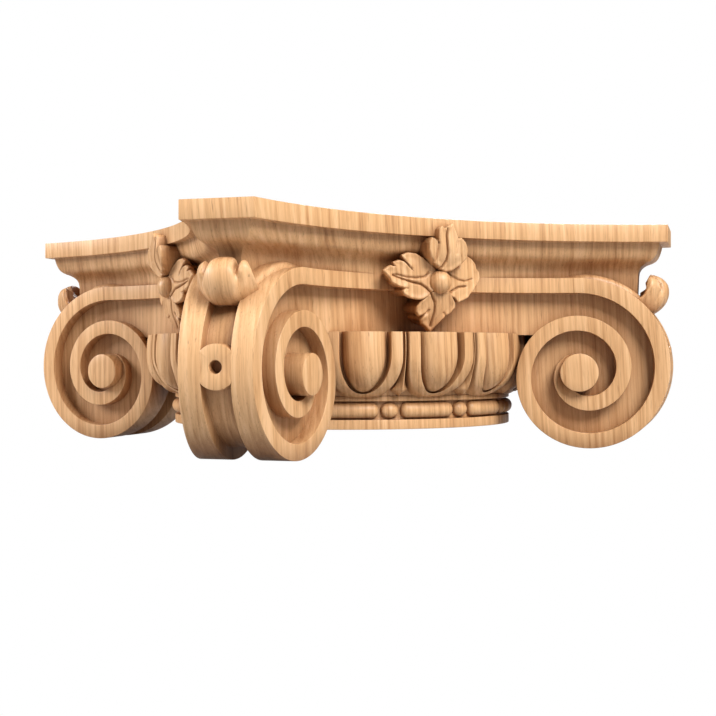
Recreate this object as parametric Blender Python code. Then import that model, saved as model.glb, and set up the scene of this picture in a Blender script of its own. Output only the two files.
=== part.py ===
"""Carved oak Ionic capital: four diagonal pairs of volutes under a hollow-sided abacus.

Metres, +Z up.  The origin is the centre of the neck's flat underside, where the capital sits on its shaft;
each face looks along an axis, and the volute pairs stand on the diagonals.
"""
from math import asin, atan2, cos, pi, radians, sin, sqrt, tau

import bmesh
import bpy
from mathutils import Matrix, Vector

MM = 0.001
NODE = "ionic_capital"

# Neck and bead course, from the underside up.
NECK_RADIUS = 90.0 * MM
NECK_RING_HEIGHT = 4.6 * MM
BEAD_COURSE_HEIGHT = 8.8 * MM
BEAD_RADIUS = 3.5 * MM
BEAD_PROUD = 1.6 * MM
BEAD_GROOVE_DEPTH = 2.3 * MM
BEAD_PERIODS = 14
BAR_SHARE = 0.70
FILLET_HEIGHT = 2.5 * MM

# Egg course (echinus).
EGG_COUNT = 16
EGG_COURSE_HEIGHT = 30.3 * MM
EGG_COURSE_SWELL = 15.4 * MM
EGG_CHANNEL_DEPTH = 7.0 * MM
SHELL_SETBACK = 3.6 * MM
EGG_HALF_WIDTH = 10.4 * MM
SHELL_INNER_HALF_WIDTH = 12.4 * MM
SHELL_OUTER_HALF_WIDTH = 17.6 * MM
DART_HALF_WIDTH = 2.0 * MM
EGG_FOOT_SHARE = 0.13
EGG_SHOULDER_SHARE = 0.72
EGG_WIDEST_SHARE = 0.66
EGG_LEAN_SHARE = 0.06

# Volutes.  The spiral is measured in eye radii: it leaves the top five above the eye, passes four below it
# and reaches the eye after two turns.
EYE_RADIUS = 9.4 * MM
EYE_PROUD = 4.4 * MM
VOLUTE_TURNS = 2
VOLUTE_START = 5.0
FILLET_WIDTH = 7.5 * MM
CHANNEL_DEPTH = 7.0 * MM
VOLUTE_REACH = 132.4 * MM
PAIR_THICKNESS = 46.4 * MM
VOLUTE_FLARE = radians(8.82)
RIM_GROOVE_WIDTH = 13.4 * MM
RIM_GROOVE_DEPTH = 6.0 * MM
BUTTON_RADIUS = 9.65 * MM
BUTTON_RISE = 3.4 * MM
BUTTON_HOLE_RADIUS = 3.0 * MM
BUTTON_HOLE_DEPTH = 9.0 * MM

# Channelled band between the volutes.
BAND_CENTRE = 85.5 * MM
BAND_RADIUS = 141.8 * MM
BAND_CORNER_REACH = 123.0 * MM

# Abacus.
ABACUS_WIDTH = 268.4 * MM
ABACUS_CORNER_WIDTH = 33.6 * MM
ABACUS_HOLLOW = 32.2 * MM
ABACUS_NECK_HEIGHT = 4.2 * MM
ABACUS_NECK_INSET = 16.5 * MM
ABACUS_NECK_TAPER = 1.0 * MM
CAVETTO_HEIGHT = 5.3 * MM
OVOLO_HEIGHT = 7.8 * MM
OVOLO_INSET = 7.0 * MM
SOFFIT_INSET = 4.0 * MM
SOFFIT_FALL = 0.4 * MM
FASCIA_HEIGHT = 8.6 * MM

# Flowers at the middle of each face, and husks over the corner pairs.
FLOWER_REACH = 102.5 * MM
FLOWER_BALL_RADIUS = 5.8 * MM
LEAF_LENGTHS = {"up": 27.0 * MM, "side": 27.0 * MM, "down": 24.0 * MM}
LEAF_SPREAD = 0.42
LEAF_THICKNESS = 6.0 * MM
UP_LEAF_RISE = 5.6 * MM
FLOWER_DROP = 3.8 * MM
HUSK_HEIGHT = 20.0 * MM
HUSK_WIDTH = 25.0 * MM
HUSK_RISE = 3.0 * MM
HUSK_REACH = 30.5 * MM
HUSK_SIDE_SETBACK = 3.0 * MM
STEM_LENGTH = 24.0 * MM
STEM_HALF_HEIGHT = 7.0 * MM
STEM_DROP = 4.0 * MM

# How finely the curves are faceted.
SPIRAL_STEPS_PER_TURN = 16
INNER_STEPS_PER_TURN = 11
SIDE_STEPS = 8
OVERLAP = 1.5 * MM
SLIVER = 0.05 * MM

# Levels that follow from the sizes above.
FILLET_TOP = NECK_RING_HEIGHT + BEAD_COURSE_HEIGHT + FILLET_HEIGHT
EGG_TOP = FILLET_TOP + EGG_COURSE_HEIGHT
BAND_BOTTOM = EGG_TOP - OVERLAP / 2
EYE_LEVEL = BAND_BOTTOM - 2 * EYE_RADIUS
BAND_TOP = EYE_LEVEL + VOLUTE_START * EYE_RADIUS
CHANNEL_TOP = BAND_TOP - FILLET_WIDTH
EGG_RADIUS = NECK_RADIUS + EGG_COURSE_SWELL


def empty_scene():
    for obj in list(bpy.data.objects):
        bpy.data.objects.remove(obj, do_unlink=True)


def new_collection(name, guides=False):
    collection = bpy.data.collections.new(name)
    bpy.context.scene.collection.children.link(collection)
    collection.hide_render = guides
    return collection


def add_object(name, mesh, collection, guide=True):
    obj = bpy.data.objects.new(name, mesh)
    collection.objects.link(obj)
    if guide:
        obj.hide_render = True
        obj.display_type = "WIRE"
    return obj


def mesh_from(name, bm):
    bmesh.ops.recalc_face_normals(bm, faces=bm.faces)
    mesh = bpy.data.meshes.new(name)
    bm.to_mesh(mesh)
    bm.free()
    return mesh


def loft(name, rings):
    """A closed solid through rings of equally many points, with a flat cap on the first and the last."""
    bm = bmesh.new()
    loops = [[bm.verts.new(point) for point in ring] for ring in rings]
    for lower, upper in zip(loops, loops[1:]):
        for i in range(len(lower)):
            j = (i + 1) % len(lower)
            bm.faces.new((lower[i], lower[j], upper[j], upper[i]))
    bm.faces.new(loops[0][::-1])
    bm.faces.new(loops[-1])
    return mesh_from(name, bm)


def boolean(obj, operation, operand):
    modifier = obj.modifiers.new(operation.title(), "BOOLEAN")
    modifier.operation = operation
    modifier.solver = "EXACT"
    if isinstance(operand, bpy.types.Collection):
        modifier.operand_type = "COLLECTION"
        modifier.collection = operand
    else:
        modifier.object = operand
    return modifier


def baked(obj, name):
    """The evaluated mesh of an object, which is then removed."""
    graph = bpy.context.evaluated_depsgraph_get()
    graph.update()
    mesh = bpy.data.meshes.new_from_object(obj.evaluated_get(graph))
    mesh.name = name
    mesh.transform(obj.matrix_world)
    bpy.data.objects.remove(obj, do_unlink=True)
    return mesh


def hollow_square(centre, radius, reach, level):
    """Plan with four hollow sides cut off at the corners, as points at one level.

    centre is the middle of a side from the axis, radius is the side's arc and reach is the corner cut's
    distance from the axis along the diagonal.
    """
    middle = centre + radius
    gap = middle - sqrt(2) * reach
    half = (sqrt(2 * radius * radius - gap * gap) - gap) / 2
    swing = asin(half / radius)
    points = []
    for quarter in range(4):
        turn = Matrix.Rotation(quarter * pi / 2, 3, "Z")
        for step in range(SIDE_STEPS + 1):
            angle = swing * (2 * step / SIDE_STEPS - 1)
            side = Vector((radius * sin(angle), radius * cos(angle) - middle, level))
            points.append(turn @ side)
    return points


def bead_swell(offset, groove):
    """Radius of the bead course at an angle from a bar's middle: bars with round ends, and a bead between."""
    half_period = pi / BEAD_PERIODS
    bar_half = BAR_SHARE * half_period
    if offset <= bar_half:
        from_end = (bar_half - offset) * NECK_RADIUS
    else:
        from_end = BEAD_RADIUS - abs(half_period - offset) * NECK_RADIUS
    if from_end <= SLIVER / 5:
        return groove, 0.0
    tube = sqrt(BEAD_RADIUS ** 2 - max(0.0, BEAD_RADIUS - from_end) ** 2)
    return NECK_RADIUS + BEAD_PROUD - BEAD_RADIUS, tube


def make_neck(members):
    """Neck ring, bead course and fillet as one solid, in columns that follow the beads."""
    half_period = pi / BEAD_PERIODS
    bead_half = BEAD_RADIUS / NECK_RADIUS
    bar_half = BAR_SHARE * half_period
    stops = [bar_half - bead_half, bar_half, half_period - bead_half, half_period - 0.5 * bead_half]
    stops = [-stop for stop in stops[::-1]] + stops
    groove = NECK_RADIUS - BEAD_GROOVE_DEPTH
    bead_top = NECK_RING_HEIGHT + BEAD_COURSE_HEIGHT
    middle = NECK_RING_HEIGHT + BEAD_COURSE_HEIGHT / 2
    inner = groove - 2 * OVERLAP
    lip = 4 * SLIVER
    rows = [(0.0, NECK_RADIUS), (NECK_RING_HEIGHT, NECK_RADIUS), (NECK_RING_HEIGHT + lip, groove)]
    rows += [(middle + lift * BEAD_RADIUS, None) for lift in (-0.6, 0.6)]
    rows += [(bead_top - lip, groove), (bead_top, NECK_RADIUS), (FILLET_TOP, NECK_RADIUS),
             (FILLET_TOP + OVERLAP, inner), (BAND_BOTTOM + OVERLAP, inner)]
    rings = []
    for level, plain in rows:
        ring = []
        for period in range(BEAD_PERIODS):
            for stop in stops:
                radius = plain
                if radius is None:
                    base, tube = bead_swell(abs(stop), groove)
                    radius = max(groove, base + sqrt(max(0.0, tube ** 2 - (level - middle) ** 2)))
                angle = 2 * half_period * period + stop - pi / 2
                ring.append((radius * cos(angle), radius * sin(angle), level))
        rings.append(ring)
    return add_object("neck", loft("neck", rings), members)


def egg_profile(share):
    """Radius of the egg course at a share of its height: a quarter round that turns in a little on top."""
    bend = sin(0.5 * pi * min(1.0, share / EGG_SHOULDER_SHARE)) ** 0.55
    lean = max(0.0, share - EGG_SHOULDER_SHARE) / (1 - EGG_SHOULDER_SHARE)
    swell = EGG_FOOT_SHARE + (1 - EGG_FOOT_SHARE) * bend - EGG_LEAN_SHARE * lean * lean
    return NECK_RADIUS + EGG_COURSE_SWELL * swell


def egg_width(half_width, share, bottom):
    """Half the width of an egg or shell outline at a share of the course's height."""
    squared = 1 - ((share - EGG_WIDEST_SHARE) / (EGG_WIDEST_SHARE - bottom)) ** 2
    return half_width * sqrt(max(0.0, squared))


def make_eggs(members):
    """The egg course as one ring of columns that follow the eggs, their shells and the darts between."""
    half_period = pi / EGG_COUNT
    shares = [0.0, 0.08, 0.24, 0.55, 1.0]
    rings = []
    for share in shares:
        surface = egg_profile(share)
        fade = min(1.0, share / 0.16)
        deep = EGG_CHANNEL_DEPTH * fade
        egg = max(egg_width(EGG_HALF_WIDTH, share, 0.06), 0.03 * EGG_HALF_WIDTH)
        inner = max(egg_width(SHELL_INNER_HALF_WIDTH, share, 0.03), 0.11 * SHELL_INNER_HALF_WIDTH)
        outer = max(egg_width(SHELL_OUTER_HALF_WIDTH, share, -0.02), 0.125 * SHELL_OUTER_HALF_WIDTH)
        limit = half_period * EGG_RADIUS - DART_HALF_WIDTH
        outer = min(outer, limit)
        shell = SHELL_SETBACK * fade
        half = [(0.0, 0.0), (0.72 * egg, 0.28 * deep), (egg + 0.2 * DART_HALF_WIDTH, deep),
                (0.5 * (inner + outer), shell), (outer + 0.45 * DART_HALF_WIDTH, deep)]
        dart = (half_period * EGG_RADIUS, shell)
        ring = []
        for egg_index in range(EGG_COUNT):
            middle = 2 * half_period * egg_index - pi / 2
            mirrored = [(-width, depth) for width, depth in half[:0:-1]]
            for width, depth in mirrored + half + [dart]:
                angle = middle + width / EGG_RADIUS
                radius = surface - depth
                level = FILLET_TOP - SLIVER + share * (EGG_COURSE_HEIGHT + SLIVER)
                ring.append((radius * cos(angle), radius * sin(angle), level))
        rings.append(ring)
    add_object("egg_course", loft("egg_course", rings), members)


def make_band(members):
    """Band between the volutes: its floor below, and the raised fillet along its top."""
    rings = []
    for setback, level in ((CHANNEL_DEPTH, BAND_BOTTOM), (CHANNEL_DEPTH, CHANNEL_TOP),
                           (0.0, CHANNEL_TOP), (0.0, BAND_TOP)):
        rings.append(hollow_square(BAND_CENTRE - setback, BAND_RADIUS + setback, BAND_CORNER_REACH, level))
    add_object("band", loft("band", rings), members)


def make_abacus(members):
    half = ABACUS_WIDTH / 2
    chord = half - ABACUS_CORNER_WIDTH / sqrt(2)
    radius = (chord ** 2 + ABACUS_HOLLOW ** 2) / (2 * ABACUS_HOLLOW)
    centre = half - ABACUS_HOLLOW
    reach = sqrt(2) * half - ABACUS_CORNER_WIDTH / 2
    level = BAND_TOP - 2 * OVERLAP
    profile = [(ABACUS_NECK_INSET + 0.3 * ABACUS_NECK_TAPER, level)]
    level = BAND_TOP + ABACUS_NECK_HEIGHT
    neck_top = ABACUS_NECK_INSET - ABACUS_NECK_TAPER
    profile.append((neck_top, level))
    steps = 3
    for step in range(1, steps + 1):
        angle = 0.5 * pi * step / steps
        inset = neck_top - (neck_top - OVOLO_INSET) * (1 - cos(angle))
        profile.append((inset, level + CAVETTO_HEIGHT * sin(angle)))
    level += CAVETTO_HEIGHT
    for step in range(1, steps + 1):
        angle = 0.5 * pi * step / steps
        inset = OVOLO_INSET - (OVOLO_INSET - SOFFIT_INSET) * sin(angle)
        profile.append((inset, level + OVOLO_HEIGHT * (1 - cos(angle))))
    level += OVOLO_HEIGHT
    profile += [(0.0, level + SOFFIT_FALL), (0.0, level + FASCIA_HEIGHT)]
    rings = [hollow_square(centre - inset, radius + inset, reach - inset, height) for inset, height in profile]
    add_object("abacus", loft("abacus", rings), members)


def spiral(turn_angle):
    """Outer radius of the volute's fillet, turn_angle on from the top."""
    return EYE_RADIUS * (VOLUTE_START - (VOLUTE_START - 1) * turn_angle / (VOLUTE_TURNS * tau))


def spiral_points(first, last, radius_at):
    """Points (outward, up) from the volute's pole along a spiral."""
    middle_radius = radius_at((first + last) / 2)
    per_turn = SPIRAL_STEPS_PER_TURN if middle_radius > 3 * EYE_RADIUS else INNER_STEPS_PER_TURN
    steps = max(2, round(per_turn * abs(last - first) / tau))
    angles = [first + (last - first) * step / steps for step in range(steps + 1)]
    return [(radius_at(a) * sin(a), radius_at(a) * cos(a)) for a in angles]


def on_volute(point, side, lift=0.0):
    """Place (outward, up) of a volute's own plane in the corner's frame, where +X runs out on the diagonal."""
    outward, up = point
    x = VOLUTE_REACH + outward * cos(VOLUTE_FLARE) + lift * sin(VOLUTE_FLARE)
    y = side * (PAIR_THICKNESS / 2 - outward * sin(VOLUTE_FLARE) + lift * cos(VOLUTE_FLARE))
    return (x, y, EYE_LEVEL + up)


def level_crossing(height):
    """Angle past the inner side at which the spiral climbs to a height above the eye."""
    low, high = 1.5 * pi, 2 * pi
    for _ in range(40):
        middle = (low + high) / 2
        if spiral(middle) * cos(middle) < height:
            low = middle
        else:
            high = middle
    return low


def make_corner():
    """One pair of volutes with its groove, button and husk, as a mesh in the corner's own frame."""
    work = new_collection("corner work", guides=True)
    cutters = new_collection("corner cutters", guides=True)
    additions = new_collection("corner additions", guides=True)
    band_height = BAND_BOTTOM - EYE_LEVEL
    root = -6.2 * EYE_RADIUS
    join = level_crossing(band_height + OVERLAP)
    top = spiral(0)
    outline = [(root, top)] + spiral_points(0, pi, spiral) + spiral_points(pi, join, spiral)[1:]
    outline.append((root, band_height + OVERLAP))
    pair = add_object("volute_pair", loft("volute_pair", [[on_volute(p, side) for p in outline]
                                                          for side in (-1, 1)]), work)

    def inner_edge(angle):
        return spiral(angle) - FILLET_WIDTH

    def next_turn(angle):
        return max(EYE_RADIUS, spiral(angle + tau))

    eye_meets = VOLUTE_TURNS * tau * (VOLUTE_START - 1 - FILLET_WIDTH / EYE_RADIUS) / (VOLUTE_START - 1)
    channel = [(1.3 * root, top - FILLET_WIDTH)] + spiral_points(0, eye_meets, inner_edge)
    channel += spiral_points(eye_meets, 0, next_turn)[1:]
    channel += spiral_points(tau, join + 0.02, spiral)[1:]
    channel.append((1.3 * root, band_height - OVERLAP))
    for side in (-1, 1):
        rings = [[on_volute(p, side, lift) for p in channel] for lift in (-CHANNEL_DEPTH, 2 * OVERLAP)]
        add_object("channel", loft("channel", rings), cutters)
        eye_ring = [(EYE_RADIUS * cos(tau * i / 12), EYE_RADIUS * sin(tau * i / 12)) for i in range(12)]
        rings = [[on_volute(p, side, lift) for p in eye_ring] for lift in (-1.2 * CHANNEL_DEPTH, EYE_PROUD)]
        add_object("eye", loft("eye", rings), additions)
    first, last = 0.02 * pi, 1.45 * pi
    groove = spiral_points(first, last, lambda a: spiral(a) + 3 * OVERLAP)
    groove += spiral_points(last, first, lambda a: spiral(a) - RIM_GROOVE_DEPTH)
    half = RIM_GROOVE_WIDTH / 2
    rings = [[(VOLUTE_REACH + out * cos(VOLUTE_FLARE), y, EYE_LEVEL + up) for out, up in groove]
             for y in (-half, half)]
    add_object("rim_groove", loft("rim_groove", rings), cutters)
    boolean(pair, "DIFFERENCE", cutters)

    face = VOLUTE_REACH + spiral(pi / 2) * cos(VOLUTE_FLARE) - 4 * SLIVER
    level = EYE_LEVEL + BUTTON_RISE
    wide = half + 6 * SLIVER
    arc = [asin(wide / BUTTON_RADIUS) * (1 - step / 3) for step in range(7)]
    button = [(BUTTON_RADIUS * sin(a), BUTTON_RADIUS * cos(a)) for a in arc]
    button += [(-y, -z) for y, z in button]
    rings = [[(x, y, level + z) for y, z in button] for x in (face - 2 * RIM_GROOVE_DEPTH, face)]
    add_object("button", loft("button", rings), additions)
    make_husk(additions)
    boolean(pair, "UNION", additions)
    hole_ring = [(BUTTON_HOLE_RADIUS * cos(tau * i / 8), BUTTON_HOLE_RADIUS * sin(tau * i / 8))
                 for i in range(8)]
    rings = [[(x, y, level + z) for y, z in hole_ring] for x in (face - BUTTON_HOLE_DEPTH, face + OVERLAP)]
    hole = add_object("button_hole", loft("button_hole", rings), work)
    boolean(pair, "DIFFERENCE", hole)
    return baked(pair, "corner")


def add_lobe(name, centre, radii, collection, segments=10, rings=6):
    bm = bmesh.new()
    scale = Matrix.Diagonal((*radii, 1))
    bmesh.ops.create_uvsphere(bm, u_segments=segments, v_segments=rings, radius=1,
                              matrix=Matrix.Translation(centre) @ scale)
    return add_object(name, mesh_from(name, bm), collection)


def make_husk(collection):
    """Three-lobed bud over the groove, with a stem that runs back over the top of the pair."""
    middle = VOLUTE_REACH + HUSK_REACH
    level = BAND_TOP + HUSK_RISE - HUSK_HEIGHT / 2
    half_height = HUSK_HEIGHT / 2
    half_width = HUSK_WIDTH / 2
    add_lobe("husk_middle", (middle, 0, level), (half_height, 0.55 * half_width, half_height), collection)
    for side in (-1, 1):
        place = (middle - HUSK_SIDE_SETBACK, side * 0.6 * half_width, level - 0.06 * HUSK_HEIGHT)
        add_lobe("husk_side", place,
                 (0.85 * half_height, 0.4 * half_width, 0.82 * half_height), collection, 8, 6)
    add_lobe("husk_stem", (middle - STEM_LENGTH, 0, BAND_TOP - STEM_DROP),
             (1.2 * STEM_LENGTH, RIM_GROOVE_WIDTH / 2, STEM_HALF_HEIGHT), collection, 8, 6)


def leaf_outline(length, half_span):
    """One leaf from the flower's centre outward, as (along, across) points on its left half, tip last."""
    shape = [(0.38, 0.84), (0.64, 1.0), (0.74, 0.52), (1.0, 0.0)]
    return [(along * length, across * half_span) for along, across in shape]


def make_flower():
    """Flower of four toothed leaves round a ball, as a mesh on the front face."""
    work = new_collection("flower work", guides=True)
    level = BAND_TOP - FLOWER_DROP
    outline = []
    for name, heading in (("side", 0), ("up", 0.5 * pi), ("side", pi), ("down", 1.5 * pi)):
        length = LEAF_LENGTHS[name]
        half = leaf_outline(length, LEAF_SPREAD * length)
        rise = UP_LEAF_RISE if name == "up" else 0.0
        leaf = [(along, -across) for along, across in half]
        leaf += [(along, across) for along, across in half[-2::-1]]
        for along, across in leaf:
            reach = sqrt(along * along + across * across)
            angle = heading + atan2(across, along)
            outline.append((reach * cos(angle), reach * sin(angle), reach / length, rise))
    back = -(BAND_CENTRE - 2 * OVERLAP)
    front = -FLOWER_REACH

    def ring(scale, lift, curl):
        points = []
        for x, z, share, rise in outline:
            depth = front + LEAF_THICKNESS * (lift + curl * share) - rise * scale * share
            points.append((x * scale, depth, level + z * scale))
        return points

    back_ring = [(x, back, level + z) for x, z, _, _ in outline]
    rings = [back_ring, ring(1.0, 1.15, -0.85), ring(0.62, 0.45, 0.1)]
    flower = add_object("flower", loft("flower", rings), work)
    ball = add_lobe("flower_ball", (0, front + 0.3 * FLOWER_BALL_RADIUS, level),
                    (FLOWER_BALL_RADIUS,) * 3, work, 8, 6)
    boolean(flower, "UNION", ball)
    return baked(flower, "flower")


def oak():
    material = bpy.data.materials.new("oak")
    material.diffuse_color = (0.62, 0.37, 0.18, 1)
    material.use_nodes = True
    shader = material.node_tree.nodes["Principled BSDF"]
    shader.inputs["Base Color"].default_value = (0.62, 0.37, 0.18, 1)
    shader.inputs["Roughness"].default_value = 0.45
    shader.inputs["Metallic"].default_value = 0.0
    return material


def main():
    empty_scene()
    capital = new_collection("Ionic capital")
    members = new_collection("carved members", guides=True)
    make_eggs(members)
    make_band(members)
    make_abacus(members)
    corner = make_corner()
    flower = make_flower()
    for quarter in range(4):
        pair = add_object("corner", corner, members)
        pair.rotation_euler.z = quarter * pi / 2 - pi / 4
        blossom = add_object("flower", flower, members)
        blossom.rotation_euler.z = quarter * pi / 2
    whole = make_neck(new_collection("neck", guides=True))
    boolean(whole, "UNION", members)
    planar = whole.modifiers.new("Planar", "DECIMATE")
    planar.decimate_type = "DISSOLVE"
    planar.angle_limit = radians(0.3)
    bpy.context.view_layer.update()
    mesh = baked(whole, NODE)
    mesh.shade_smooth()
    mesh.set_sharp_from_angle(angle=radians(30))
    mesh.materials.clear()
    mesh.materials.append(oak())
    add_object(NODE, mesh, capital, guide=False)


main()
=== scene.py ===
"""Looks of the carved oak Ionic capital: every member as a fine mesh, in one procedural oak."""
from math import asin, cos, exp, pi, radians, sin, sqrt, tau

import bmesh
import bpy
import numpy as np
from mathutils import Matrix, Vector


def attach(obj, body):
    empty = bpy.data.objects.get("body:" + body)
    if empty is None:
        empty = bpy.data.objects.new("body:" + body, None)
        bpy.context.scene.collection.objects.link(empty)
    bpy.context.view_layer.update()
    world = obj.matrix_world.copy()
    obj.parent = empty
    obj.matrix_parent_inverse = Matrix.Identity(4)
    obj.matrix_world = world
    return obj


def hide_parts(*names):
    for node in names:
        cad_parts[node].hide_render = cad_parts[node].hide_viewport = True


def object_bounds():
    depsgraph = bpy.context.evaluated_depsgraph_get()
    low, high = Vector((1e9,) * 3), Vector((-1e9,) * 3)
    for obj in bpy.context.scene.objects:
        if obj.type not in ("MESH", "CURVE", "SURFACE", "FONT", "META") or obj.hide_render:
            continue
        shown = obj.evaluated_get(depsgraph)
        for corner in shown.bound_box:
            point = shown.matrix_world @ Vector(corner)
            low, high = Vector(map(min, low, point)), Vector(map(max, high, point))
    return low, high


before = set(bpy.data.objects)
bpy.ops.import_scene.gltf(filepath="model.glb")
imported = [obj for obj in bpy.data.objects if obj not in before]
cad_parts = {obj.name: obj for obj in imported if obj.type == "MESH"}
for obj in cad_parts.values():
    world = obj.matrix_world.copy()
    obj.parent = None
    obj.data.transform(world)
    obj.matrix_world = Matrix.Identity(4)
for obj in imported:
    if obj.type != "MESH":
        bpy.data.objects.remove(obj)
cad_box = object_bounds()

MM = 0.001
NODE = "ionic_capital"

# Sizes in millimetres, and EGG_PITCH in degrees. Most are the solids' own or close to them.
NECK_RADIUS = 90.0
NECK_RING_HEIGHT = 4.6
BEAD_TOP = 13.4
FILLET_TOP = 15.9
BEAD_RADIUS = 3.7
BEAD_PROUD = 1.6
BEAD_PERIODS = 14
GROOVE_RADIUS = 87.7
BAR_HALF_ANGLE = radians(9.4)
BAR_ROUND_END = 3.3
BEAD_HALF_ANGLE = radians(2.95)
EGG_COUNT = 16
EGG_PITCH = 21.6
EGG_SHOULDER = 36.0
EGG_TOP = 46.2
EGG_ARC = 100.0
EGG_BACK_RADIUS = 74.0
CORE_RADIUS = 76.0
EYE_RADIUS = 9.4
EYE_PROUD = 4.4
EYE_SHIFT = 1.9
VOLUTE_START = 5.0
FILLET_WIDTH = 7.5
CHANNEL_DEPTH = 7.0
VOLUTE_REACH = 132.4
PAIR_THICKNESS = 46.4
VOLUTE_FLARE = radians(8.82)
RIM_INSET = 0.12
WEB_INSET = 6.9
FREE_FILLET_START = 3.185 * pi
RIM_GROOVE_WIDTH = 13.4
RIM_GROOVE_DEPTH = 5.5
BUTTON_RADIUS = 9.65
BUTTON_RISE = 3.4
BUTTON_HOLE_RADIUS = 2.8
BAND_CENTRE = 85.5
BAND_RADIUS = 141.8
BAND_BOTTOM = 45.5
EYE_LEVEL = BAND_BOTTOM - 2 * EYE_RADIUS
BAND_TOP = EYE_LEVEL + VOLUTE_START * EYE_RADIUS
CHANNEL_TOP = BAND_TOP - FILLET_WIDTH
ABACUS_SOFFIT = 91.1
ABACUS_TOP = 99.6
ABACUS_WIDTH = 268.4
ABACUS_CORNER_WIDTH = 33.6
ABACUS_HOLLOW = 32.2
NECK_DROP = 8.0
NECK_DROP_START = 128.0
NECK_DROP_RUN = 22.0
FLOWER_LEVEL = BAND_TOP - 3.8
FLOWER_BALL_REACH = 99.5
FLOWER_BALL_RADIUS = 5.6
FLOWER_BACK = 76.0
ARRIS = 0.35

# Cosine between a corner's two sides below which the corner stays as it is.
NEARLY_STRAIGHT = -0.86

QUARTERS = [Matrix.Rotation(quarter * pi / 2, 4, "Z") for quarter in range(4)]
CORNERS = [Matrix.Rotation(quarter * pi / 2 - pi / 4, 4, "Z") for quarter in range(4)]


def grid_faces(rows, columns, close_columns=False):
    """Quads over a grid of points numbered row by row."""
    faces = []
    for i in range(rows - 1):
        k = i + 1
        for j in range(columns if close_columns else columns - 1):
            m = (j + 1) % columns
            faces.append((i * columns + j, i * columns + m, k * columns + m, k * columns + j))
    return faces


def outward(mesh):
    """Turn every face to look out of the body."""
    bm = bmesh.new()
    bm.from_mesh(mesh)
    bmesh.ops.recalc_face_normals(bm, faces=bm.faces)
    bm.to_mesh(mesh)
    bm.free()


def mesh_of(name, points, faces, crease):
    """Smooth mesh from points in millimetres, sharp where two faces meet at more than the crease angle."""
    mesh = bpy.data.meshes.new(name)
    mesh.from_pydata([tuple(p) for p in np.asarray(points, dtype=float) * MM], [], faces)
    mesh.validate()
    outward(mesh)
    mesh.shade_smooth()
    mesh.set_sharp_from_angle(angle=radians(crease))
    return mesh


def swept(name, sections, crease):
    """Closed body through sections of equally many points, each section a closed loop."""
    sections = np.asarray(sections, dtype=float)
    rows, columns = sections.shape[:2]
    faces = grid_faces(rows, columns, close_columns=True)
    faces.append(tuple(range(columns))[::-1])
    faces.append(tuple(range((rows - 1) * columns, rows * columns)))
    return mesh_of(name, sections.reshape(-1, 3), faces, crease)


def dress(name, mesh, material, matrix=None):
    """One piece of the capital, in place and riding with it."""
    if matrix is not None:
        mesh = mesh.copy()
        mesh.transform(matrix)
    mesh.materials.clear()
    mesh.materials.append(material)
    piece = bpy.data.objects.new(name, mesh)
    bpy.context.scene.collection.objects.link(piece)
    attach(piece, "root")
    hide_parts(NODE)


def smooth_curve(points, count):
    """Points spaced evenly along a smooth curve through a few control points."""
    points = np.asarray(points, dtype=float)
    padded = np.vstack([2 * points[0] - points[1], points, 2 * points[-1] - points[-2]])
    fine = []
    for i in range(len(points) - 1):
        p0, p1, p2, p3 = padded[i:i + 4]
        for t in np.linspace(0, 1, 24, endpoint=False):
            fine.append(0.5 * (2 * p1 + (p2 - p0) * t + (2 * p0 - 5 * p1 + 4 * p2 - p3) * t * t
                               + (3 * p1 - p0 - 3 * p2 + p3) * t ** 3))
    fine.append(points[-1])
    fine = np.array(fine)
    along = np.concatenate([[0], np.cumsum(np.linalg.norm(np.diff(fine, axis=0), axis=1))])
    wanted = np.linspace(0, along[-1], count)
    return np.stack([np.interp(wanted, along, fine[:, k]) for k in range(fine.shape[1])], axis=1)


def rounded(profile, radius=ARRIS, steps=3):
    """The same open polyline with each sharp corner replaced by a small arc."""
    profile = [np.asarray(p, dtype=float) for p in profile]
    result = []
    count = len(profile)
    for i, point in enumerate(profile):
        if i in (0, count - 1):
            result.append(point)
            continue
        before = profile[i - 1] - point
        after = profile[i + 1] - point
        reach_before = np.linalg.norm(before)
        reach_after = np.linalg.norm(after)
        if reach_before < 1e-6 or reach_after < 1e-6:
            result.append(point)
            continue
        turn = float(np.dot(before, after) / (reach_before * reach_after))
        if turn < NEARLY_STRAIGHT:
            result.append(point)
            continue
        start = point + before * min(radius / reach_before, 0.4)
        end = point + after * min(radius / reach_after, 0.4)
        for step in range(steps + 1):
            t = step / steps
            result.append((1 - t) ** 2 * start + 2 * t * (1 - t) * point + t * t * end)
    return result


# Abacus.

def hollow_square(centre, radius, reach, level, steps=40):
    """Plan with four hollow sides cut off at the corners, as points at one level."""
    middle = centre + radius
    gap = middle - sqrt(2) * reach
    half = (sqrt(2 * radius * radius - gap * gap) - gap) / 2
    swing = asin(half / radius)
    side = []
    for step in range(steps + 1):
        angle = swing * (2 * step / steps - 1)
        side.append(np.array((radius * sin(angle), radius * cos(angle) - middle)))
    last = side[-1]
    first_next = np.array((-side[0][1], side[0][0]))
    plan = side[:]
    for step in range(1, 6):
        plan.append(last + (first_next - last) * step / 6)
    points = []
    for quarter in range(4):
        c, s = cos(quarter * pi / 2), sin(quarter * pi / 2)
        for x, y in plan:
            points.append((c * x - s * y, s * x + c * y, level))
    return points


def abacus_profile():
    """Inset and level up the side: neck, cavetto, ovolo, soffit and fascia."""
    curve = smooth_curve([(15.2, 75.5), (14.8, 77.6), (13.6, 79.6), (11.5, 81.2), (9.0, 82.3), (7.2, 83.5),
                          (5.9, 85.3), (5.0, 87.6), (4.4, 89.8), (4.2, ABACUS_SOFFIT)], 26)
    neck = [(16.4, 66.6), (15.6, 73.0)]
    return neck + [tuple(point) for point in curve] + [(0.0, ABACUS_SOFFIT), (0.0, ABACUS_TOP)]


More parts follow.
